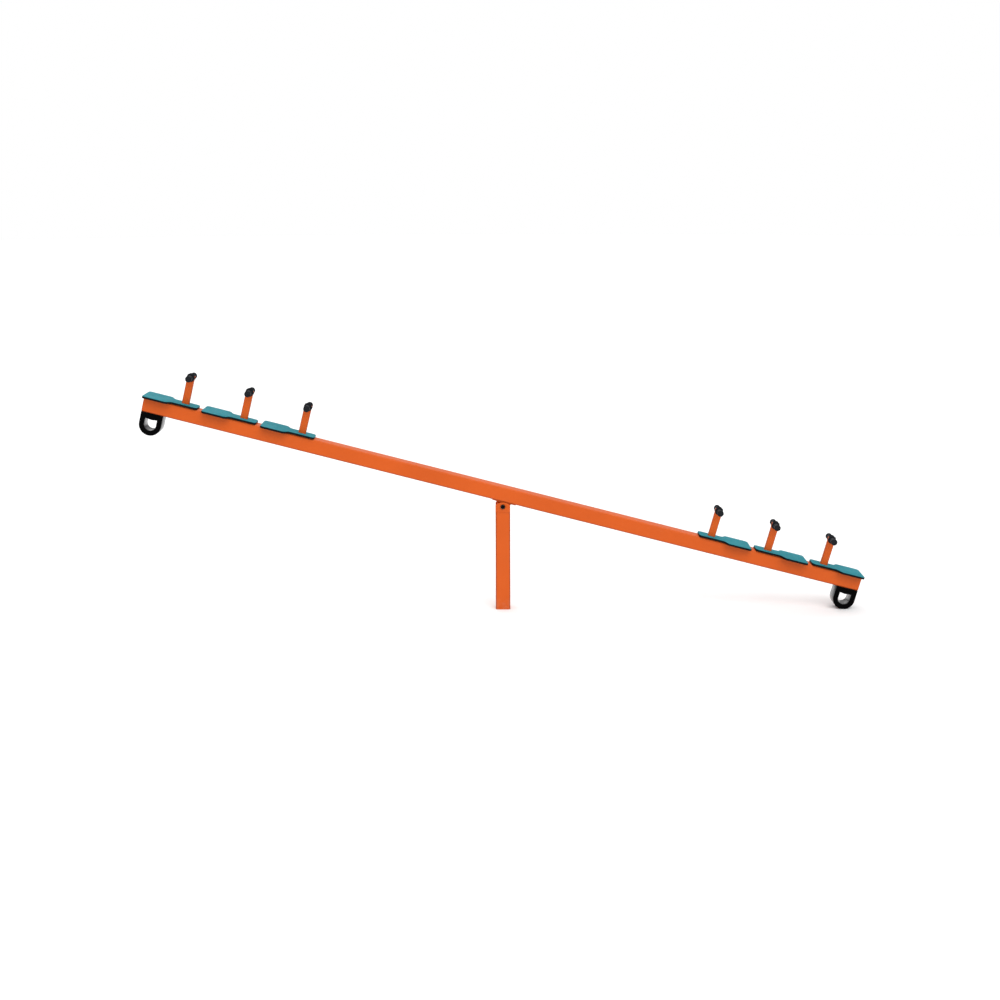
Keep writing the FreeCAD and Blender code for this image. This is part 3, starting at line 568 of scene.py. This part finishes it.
def finish_of(name):
    """A material, made the first time it is asked for."""
    rubber = settings().rubber
    makers = {
        "paint": powder_coat,
        "face": board_face,
        "core": board_core,
        "sawn": sawn_rubber,
        "skin": extruded_rubber,
        "grip": lambda: moulded("grip rubber", tuple(rubber.grip), 0.38, 0.0009),
        "plastic": lambda: moulded("black plastic", (0.0015, 0.0015, 0.0016), 0.34, 0.0006, shine=0.05),
        "zinc": lambda: plated("zinc plate", (0.58, 0.59, 0.61), (0.50, 0.52, 0.55)),
        "black steel": lambda: moulded("blackened steel", (0.0025, 0.0025, 0.0028), 0.38, 0.0005),
        "bronze": lambda: plated("bearing bronze", (0.52, 0.33, 0.15), (0.44, 0.27, 0.12)),
    }
    if name not in MATERIALS:
        MATERIALS[name] = makers[name]()
    return MATERIALS[name]


# ---- modelling ----

def only(piece):
    """Select and activate one object and nothing else."""
    if bpy.context.mode != "OBJECT":
        bpy.ops.object.mode_set(mode="OBJECT")
    bpy.ops.object.select_all(action="DESELECT")
    bpy.context.view_layer.objects.active = piece
    piece.select_set(True)


def edit(piece):
    """Open one object in edit mode with all of it selected."""
    only(piece)
    bpy.ops.object.mode_set(mode="EDIT")
    bpy.ops.mesh.select_all(action="SELECT")


def done():
    """Back to object mode."""
    bpy.ops.object.mode_set(mode="OBJECT")


def coat(piece, finish):
    """Give an object one material."""
    piece.data.materials.clear()
    piece.data.materials.append(finish_of(finish))


def smooth(piece, angle=35):
    """Smooth shading with sharp edges past an angle in degrees."""
    only(piece)
    bpy.ops.object.shade_smooth_by_angle(angle=radians(angle))


def apply_bevel(piece, width, segments=2, angle=35):
    """Round the edges that are sharper than an angle."""
    only(piece)
    modifier = piece.modifiers.new("edge round", "BEVEL")
    modifier.width = width
    modifier.segments = segments
    modifier.limit_method = "ANGLE"
    modifier.angle_limit = radians(angle)
    bpy.ops.object.modifier_apply(modifier=modifier.name)


def merged_copy(node, name):
    """Copy of a CAD node as one clean shell with large flat faces."""
    piece = frame["nodes"][node].copy()
    piece.data = piece.data.copy()
    piece.name = name
    piece.data.name = name
    piece.hide_viewport = False
    piece.hide_render = False
    bpy.context.scene.collection.objects.link(piece)
    only(piece)
    bpy.ops.mesh.customdata_custom_splitnormals_clear()
    edit(piece)
    bpy.ops.mesh.remove_doubles(threshold=2e-6)
    bpy.ops.mesh.dissolve_limited(angle_limit=radians(0.3))
    done()
    return piece


def copy_piece(piece, name):
    """A further piece with its own mesh."""
    twin = piece.copy()
    twin.data = piece.data.copy()
    twin.name = name
    twin.data.name = name
    bpy.context.scene.collection.objects.link(twin)
    return twin


def settle(piece, matrix):
    """Move a piece into place and keep the place in its mesh."""
    piece.matrix_world = matrix
    only(piece)
    bpy.ops.object.transform_apply(location=True, rotation=True, scale=True)


def hand_over(piece, body, slot, *nodes):
    """Ride a finished piece on its body and let it stand for CAD nodes."""
    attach(piece, body)
    if nodes:
        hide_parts(*nodes)


def lathe(name, profile, steps=48):
    """Closed turned piece about Z from (radius, height) points; both ends lie on the axis."""
    only_nothing()
    bpy.ops.mesh.primitive_plane_add(size=MM)
    piece = bpy.context.active_object
    piece.name = name
    piece.data.name = name
    bpy.ops.object.mode_set(mode="EDIT")
    bpy.ops.mesh.select_all(action="SELECT")
    bpy.ops.mesh.merge(type="CENTER")
    here = Vector((profile[0][0], 0, profile[0][1]))
    bpy.ops.transform.translate(value=here)
    for radius, height in profile[1:]:
        there = Vector((radius, 0, height))
        bpy.ops.mesh.extrude_region_move(TRANSFORM_OT_translate={"value": there - here})
        here = there
    bpy.ops.mesh.select_all(action="SELECT")
    bpy.ops.mesh.spin(steps=steps, angle=2 * pi, center=(0, 0, 0), axis=(0, 0, 1))
    bpy.ops.mesh.select_all(action="SELECT")
    bpy.ops.mesh.remove_doubles(threshold=1e-6)
    bpy.ops.mesh.normals_make_consistent(inside=False)
    done()
    return piece


def only_nothing():
    """Leave every object unselected."""
    if bpy.context.mode != "OBJECT":
        bpy.ops.object.mode_set(mode="OBJECT")
    bpy.ops.object.select_all(action="DESELECT")


def islands(node):
    """Points of each separate solid in a CAD node, from the beam's left to its right."""
    whole = merged_copy(node, f"{node}_sorting")
    edit(whole)
    bpy.ops.mesh.separate(type="LOOSE")
    done()
    parts = list(bpy.context.selected_objects)
    groups = [[vertex.co.copy() for vertex in part.data.vertices] for part in parts]
    for part in parts:
        bpy.data.objects.remove(part)
    return sorted(groups, key=lambda points: sum(point.dot(ALONG) for point in points) / len(points))


def arc_points(centre, radius, start, end, count):
    """Points of an arc in a turned profile; angles in degrees."""
    angles = [radians(start + (end - start) * step / count) for step in range(count + 1)]
    return [(centre[0] + radius * cos(angle), centre[1] + radius * sin(angle)) for angle in angles]


# ---- operators ----

PAINTED = ("beam", "post", "bearing_sleeve")
PLATES = {
    POST: ("foot_plate", "head_plate", "fork_ear_front", "fork_ear_rear"),
    BEAM: ("end_cap_left", "end_cap_right", "beam_saddle", "saddle_gusset_left", "saddle_gusset_right"),
}


class SEESAW_OT_steelwork(bpy.types.Operator):
    """Coat the frame, and round the cut edges of its plates"""
    bl_idname = "seesaw.steelwork"
    bl_label = "Steelwork"

    def execute(self, context):
        for node in (*PAINTED, *(f"handle_post_{place}" for place in PLACES)):
            coat(frame["nodes"][node], "paint")
        for body, nodes in PLATES.items():
            for node in nodes:
                plate = merged_copy(node, f"{node}_plate")
                apply_bevel(plate, settings().paint.edge_round)
                smooth(plate)
                coat(plate, "paint")
                hand_over(plate, body, "orange_paint", node)
        return {"FINISHED"}


class SEESAW_OT_axle(bpy.types.Operator):
    """Finish the bearing's metal and cover its bolt with domed caps"""
    bl_idname = "seesaw.axle"
    bl_label = "Axle"

    def execute(self, context):
        for node in ("axle_bolt", "axle_nut", "axle_spacer", "axle_washer_front", "axle_washer_rear"):
            coat(frame["nodes"][node], "zinc")
        for node in ("bush_front", "bush_rear"):
            coat(frame["nodes"][node], "bronze")
        for face, sign in FACES.items():
            node = f"axle_cap_{face}"
            size = size_of(node)
            rim, rise = size.x / 2, size.y
            turn = rim * 0.35
            profile = [(0, 0), (rim, 0), (rim, 0.0008), (rim * 0.96, 0.0022)]
            profile += arc_points((rim * 0.96 - turn, rise - turn - 0.0012), turn, 0, 80, 8)
            profile += [(rim * 0.25, rise - 0.0002), (0, rise)]
            cap = lathe(f"{node}_dome", profile)
            outward = Matrix.Rotation(-sign * pi / 2, 4, "X")
            base = centre_of(node)
            base.y = sign * (abs(base.y) - rise / 2)
            settle(cap, Matrix.Translation(base) @ outward)
            smooth(cap)
            coat(cap, "plastic")
            hand_over(cap, POST, "black_plastic", node)
        return {"FINISHED"}


class SEESAW_OT_seats(bpy.types.Operator):
    """Make each seat from a black core and a thin coloured face"""
    bl_idname = "seesaw.seats"
    bl_label = "Seats"

    def execute(self, context):
        for place in PLACES:
            node = f"seat_{place}"
            top = beam_span(node_points(node), ABOVE)[1]
            cut = beam_point(0, 0, top - settings().seat.face_depth)
            for layer in ("core", "face"):
                board = merged_copy(node, f"seat_{layer}_{place}")
                edit(board)
                bpy.ops.mesh.bisect(
                    plane_co=cut, plane_no=ABOVE, use_fill=False,
                    clear_inner=layer == "face", clear_outer=layer == "core")
                bpy.ops.mesh.fill()
                bpy.ops.mesh.select_all(action="SELECT")
                bpy.ops.mesh.normals_make_consistent(inside=False)
                done()
                smooth(board)
                coat(board, layer)
                hand_over(board, BEAM, "seat_board", node)
        return {"FINISHED"}


class SEESAW_OT_screws(bpy.types.Operator):
    """Cover each sunken seat screw with a cap in the seat's colour"""
    bl_idname = "seesaw.screws"
    bl_label = "Screw covers"

    def execute(self, context):
        coat(frame["nodes"]["seat_screws"], "zinc")
        top = beam_span(node_points("seat_left_1"), ABOVE)[1]
        places = islands("seat_screws")
        left, right = beam_span(places[0], ACROSS)
        rim = (right - left) / 2
        depth = top - beam_span(places[0], ABOVE)[1]
        crown = 0.5 * MM
        profile = [(0, -depth), (rim, -depth), (rim, -0.6 * MM), (rim - 0.5 * MM, 0)]
        profile += [(rim * 0.7, crown * 0.6), (rim * 0.35, crown), (0, crown)]
        model = lathe("screw_cover_model", profile, steps=24)
        smooth(model)
        coat(model, "face")
        for number, points in enumerate(places):
            along = sum(beam_span(points, ALONG)) / 2
            cover = copy_piece(model, f"screw_cover_{number + 1:02d}")
            settle(cover, Matrix.Translation(beam_point(along, 0, top)) @ LEVEL_TO_BEAM)
            hand_over(cover, BEAM, "seat_board")
        bpy.data.objects.remove(model)
        return {"FINISHED"}


def grip_profile(size, guard, knob, hold, rubber):
    """Turned outline of a grip: guard disc, ribbed hold and end disc; the root is at height 0."""
    reach = size.y
    guard_deep, knob_deep = 6 * MM, 7 * MM
    soft = 2.2 * MM
    profile = [(0, 0), (guard - soft, 0)]
    profile += arc_points((guard - soft, soft), soft, -90, 90, 8)
    profile += arc_points((hold + 3 * MM, guard_deep + 1.4 * MM), 3 * MM, -150, -180, 3)
    start, end = guard_deep + 3 * MM, reach - knob_deep - 2.5 * MM
    steps = rubber.ribs * 6
    for step in range(steps + 1):
        share = step / steps
        swell = 1.0 * MM * sin(pi * share)
        ring = rubber.rib_height * max(0.0, sin(2 * pi * rubber.ribs * share))
        profile.append((hold + swell + ring, start + (end - start) * share))
    profile += [(hold + 1.2 * MM, reach - knob_deep), (knob - soft, reach - knob_deep)]
    profile += arc_points((knob - soft, reach - knob_deep + soft), soft, -80, 0, 4)
    profile += arc_points((knob - soft, reach - soft), soft, 0, 80, 4)
    profile += [(knob * 0.62, reach), (knob * 0.56, reach - 0.7 * MM), (0, reach - 0.5 * MM)]
    return profile


class SEESAW_OT_grips(bpy.types.Operator):
    """Model one ribbed rubber grip and put a copy on each handlebar end"""
    bl_idname = "seesaw.grips"
    bl_label = "Grips"

    def execute(self, context):
        for place in PLACES:
            coat(frame["nodes"][f"handlebar_{place}"], "zinc")
        size = size_of("grip_left_1_front")
        bar = size_of("handlebar_left_1").z / 2
        guard = size.x / 2
        knob = guard * KNOB_WIDTH / GUARD_WIDTH
        profile = grip_profile(size, guard, knob, bar + 5 * MM, settings().rubber)
        model = lathe("grip_model", profile, steps=40)
        smooth(model, 50)
        coat(model, "grip")
        for place in PLACES:
            for face, sign in FACES.items():
                node = f"grip_{place}_{face}"
                root = centre_of(node)
                root.y = sign * (abs(root.y) - size.y / 2)
                grip = copy_piece(model, f"{node}_ribbed")
                settle(
                    grip,
                    Matrix.Translation(root) @ LEVEL_TO_BEAM @ Matrix.Rotation(-sign * pi / 2, 4, "X"))
                hand_over(grip, BEAM, "grip_rubber", node)
        bpy.data.objects.remove(model)
        return {"FINISHED"}


class SEESAW_OT_plugs(bpy.types.Operator):
    """Close the handle posts with slightly crowned plugs"""
    bl_idname = "seesaw.plugs"
    bl_label = "Handle plugs"

    def execute(self, context):
        plugs = merged_copy("handle_plugs", "handle_plugs_crowned")
        apply_bevel(plugs, 1.4 * MM, segments=3)
        smooth(plugs)
        coat(plugs, "plastic")
        hand_over(plugs, BEAM, "black_plastic", "handle_plugs")
        return {"FINISHED"}


class SEESAW_OT_bumpers(bpy.types.Operator):
    """Soften the rubber bumpers and tell their sawn faces from their skin"""
    bl_idname = "seesaw.bumpers"
    bl_label = "Bumpers"

    def execute(self, context):
        for side in SIDES:
            coat(frame["nodes"][f"bumper_strip_{side}"], "black steel")
            node = f"bumper_{side}"
            bumper = merged_copy(node, f"{node}_rubber")
            apply_bevel(bumper, 1.2 * MM, angle=40)
            smooth(bumper, 30)
            coat(bumper, "skin")
            bumper.data.materials.append(finish_of("sawn"))
            for polygon in bumper.data.polygons:
                polygon.material_index = int(abs(polygon.normal.y) > 0.9)
            hand_over(bumper, BEAM, "bumper_rubber", node)
        bolts = merged_copy("bumper_bolts", "bumper_bolts_domed")
        apply_bevel(bolts, 1.6 * MM, segments=3, angle=50)
        smooth(bolts)
        coat(bolts, "black steel")
        hand_over(bolts, BEAM, "zinc_steel", "bumper_bolts")
        return {"FINISHED"}


def weld_bead(name, start, end, body, width):
    """Rippled bead between two points: overlapping flattened drops."""
    run = end - start
    pitch = width * 0.8
    count = max(2, int(run.length / pitch) + 1)
    only_nothing()
    bpy.ops.mesh.primitive_uv_sphere_add(segments=10, ring_count=6, radius=width)
    bead = bpy.context.active_object
    bead.name = name
    bead.data.name = name
    bead.scale = (0.9, 1.0, 0.9)
    bpy.ops.object.transform_apply(location=False, rotation=False, scale=True)
    array = bead.modifiers.new("ripples", "ARRAY")
    array.count = count
    array.use_relative_offset = False
    array.use_constant_offset = True
    array.constant_offset_displace = (run.length / (count - 1), 0, 0)
    bpy.ops.object.modifier_apply(modifier=array.name)
    turn = run.to_track_quat("X", "Z").to_matrix().to_4x4()
    settle(bead, Matrix.Translation(start) @ turn)
    smooth(bead, 80)
    coat(bead, "paint")
    hand_over(bead, body, "orange_paint")


class SEESAW_OT_welds(bpy.types.Operator):
    """Lay weld beads inside the fork, round the saddle and along the sleeve"""
    bl_idname = "seesaw.welds"
    bl_label = "Welds"

    def execute(self, context):
        width = settings().paint.bead
        ear_low, ear_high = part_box("fork_ear_front")
        half, foot = ear_high[0], ear_low[2]
        inner = ear_high[1] + width * 0.3
        for face, sign in FACES.items():
            start = Vector((-half + 6 * MM, -sign * inner, foot))
            end = Vector((half - 6 * MM, -sign * inner, foot))
            weld_bead(f"weld_ear_{face}", start, end, POST, width)
        plate = node_points("beam_saddle")
        left, right = beam_span(plate, ALONG)
        near, far = beam_span(plate, ACROSS)
        low, high = beam_span(plate, ABOVE)
        rim = [(left, near), (right, near), (right, far), (left, far)]
        for number, (here, there) in enumerate(zip(rim, rim[1:] + rim[:1])):
            start, end = beam_point(*here, high - width * 0.4), beam_point(*there, high - width * 0.4)
            weld_bead(f"weld_saddle_{number + 1}", start, end, BEAM, width)
        sleeve = node_points("bearing_sleeve")
        front, rear = beam_span(sleeve, ACROSS)
        reach = beam_span(sleeve, ABOVE)[1]
        beside = reach * 0.36
        for side, sign in zip(SIDES, (-1, 1)):
            start = beam_point(sign * beside, front + 2 * MM, low - width * 0.5)
            end = beam_point(sign * beside, rear - 2 * MM, low - width * 0.5)
            weld_bead(f"weld_sleeve_{side}", start, end, BEAM, width)
        return {"FINISHED"}


class SEESAW_OT_stage(bpy.types.Operator):
    """Set the white floor, the soft lights and the camera"""
    bl_idname = "seesaw.stage"
    bl_label = "Stage"

    def execute(self, context):
        stage = settings().stage
        only_nothing()
        bpy.ops.mesh.primitive_circle_add(
            vertices=96, radius=FLOOR_RADIUS, fill_type="NGON", location=(0, 0, 0))
        floor = context.active_object
        floor.name = "floor"
        material, tree, shader, place = new_material("floor white")
        haze = use_group(
            tree, "mottle", {"Vector": place.outputs["Object"]}, Scale=0.4,
            First=(*stage.floor, 1), Second=(*tinted(stage.floor, 0.995), 1))
        tree.links.new(haze.outputs["Color"], shader.inputs["Base Color"])
        shader.inputs["Roughness"].default_value = 0.9
        shader.inputs["Specular IOR Level"].default_value = 0.0
        floor.data.materials.append(material)
        self.add_surround(context, stage)
        self.add_sun("key", KEY_FROM, stage.key, stage.softness)
        self.add_sun("fill", FILL_FROM, stage.key * FILL_SHARE, stage.softness)
        self.add_camera(context, stage.lens)
        context.scene.view_settings.view_transform = "Standard"
        return {"FINISHED"}

    def add_surround(self, context, stage):
        """White to the eye, and lit more from overhead than from the sides."""
        world = bpy.data.worlds.new("white surround")
        world.use_nodes = True
        tree = world.node_tree
        surround = tree.nodes["Background"]
        place = tree.nodes.new("ShaderNodeTexCoord")
        apart = add(tree, "ShaderNodeSeparateXYZ", {"Vector": place.outputs["Generated"]})
        light = ramp(tree, apart.outputs["Z"], 0.0, 0.8, stage.horizon, stage.zenith)
        path = tree.nodes.new("ShaderNodeLightPath")
        seen = mix_value(tree, path.outputs["Is Camera Ray"], light, 1.0)
        tree.links.new(seen, surround.inputs["Strength"])
        surround.inputs["Color"].default_value = (1, 1, 1, 1)
        context.scene.world = world

    def add_sun(self, name, towards, strength, softness):
        """Wide soft light from one direction."""
        only_nothing()
        bpy.ops.object.light_add(type="SUN")
        lamp = bpy.context.active_object
        lamp.name = name
        lamp.data.energy = strength
        lamp.data.angle = softness
        lamp.rotation_euler = towards.to_track_quat("Z", "Y").to_euler()

    def add_camera(self, context, lens):
        """Camera in front, a little above, looking slightly down."""
        only_nothing()
        bpy.ops.object.camera_add(location=CAMERA_PLACE)
        camera = context.active_object
        camera.name = "camera"
        camera.data.sensor_width = 36
        camera.data.lens = lens
        camera.data.dof.use_dof = False
        turn = Matrix.Rotation(radians(CAMERA_TURN), 4, "Z")
        tip = Matrix.Rotation(radians(90 - CAMERA_DIP), 4, "X")
        roll = Matrix.Rotation(radians(CAMERA_ROLL), 4, "Z")
        camera.rotation_euler = (turn @ tip @ roll).to_euler()
        context.scene.camera = camera


OPERATORS = (
    SEESAW_OT_steelwork, SEESAW_OT_axle, SEESAW_OT_seats, SEESAW_OT_screws, SEESAW_OT_grips,
    SEESAW_OT_plugs, SEESAW_OT_bumpers, SEESAW_OT_welds, SEESAW_OT_stage,
)


class SEESAW_PT_panel(bpy.types.Panel):
    """Sidebar panel that lists the seesaw's pieces"""
    bl_idname = "SEESAW_PT_panel"
    bl_label = "Seesaw"
    bl_space_type = "VIEW_3D"
    bl_region_type = "UI"
    bl_category = "Seesaw"

    def draw(self, context):
        column = self.layout.column()
        for operator in OPERATORS:
            column.operator(operator.bl_idname)
        for group in ("paint", "seat", "rubber", "stage"):
            values = getattr(context.scene.seesaw, group)
            for name in values.__annotations__:
                column.prop(values, name)


CLASSES = (SeesawPaint, SeesawSeat, SeesawRubber, SeesawStage, SeesawSettings, *OPERATORS, SEESAW_PT_panel)


def register():
    for item in CLASSES:
        bpy.utils.register_class(item)
    bpy.types.Scene.seesaw = bpy.props.PointerProperty(type=SeesawSettings)


def unregister():
    del bpy.types.Scene.seesaw
    for item in reversed(CLASSES):
        bpy.utils.unregister_class(item)


def main():
    """Register the add-on and make every piece in order."""
    register()
    for operator in OPERATORS:
        group, name = operator.bl_idname.split(".")
        getattr(getattr(bpy.ops, group), name)()


if __name__ == "__main__":
    main()
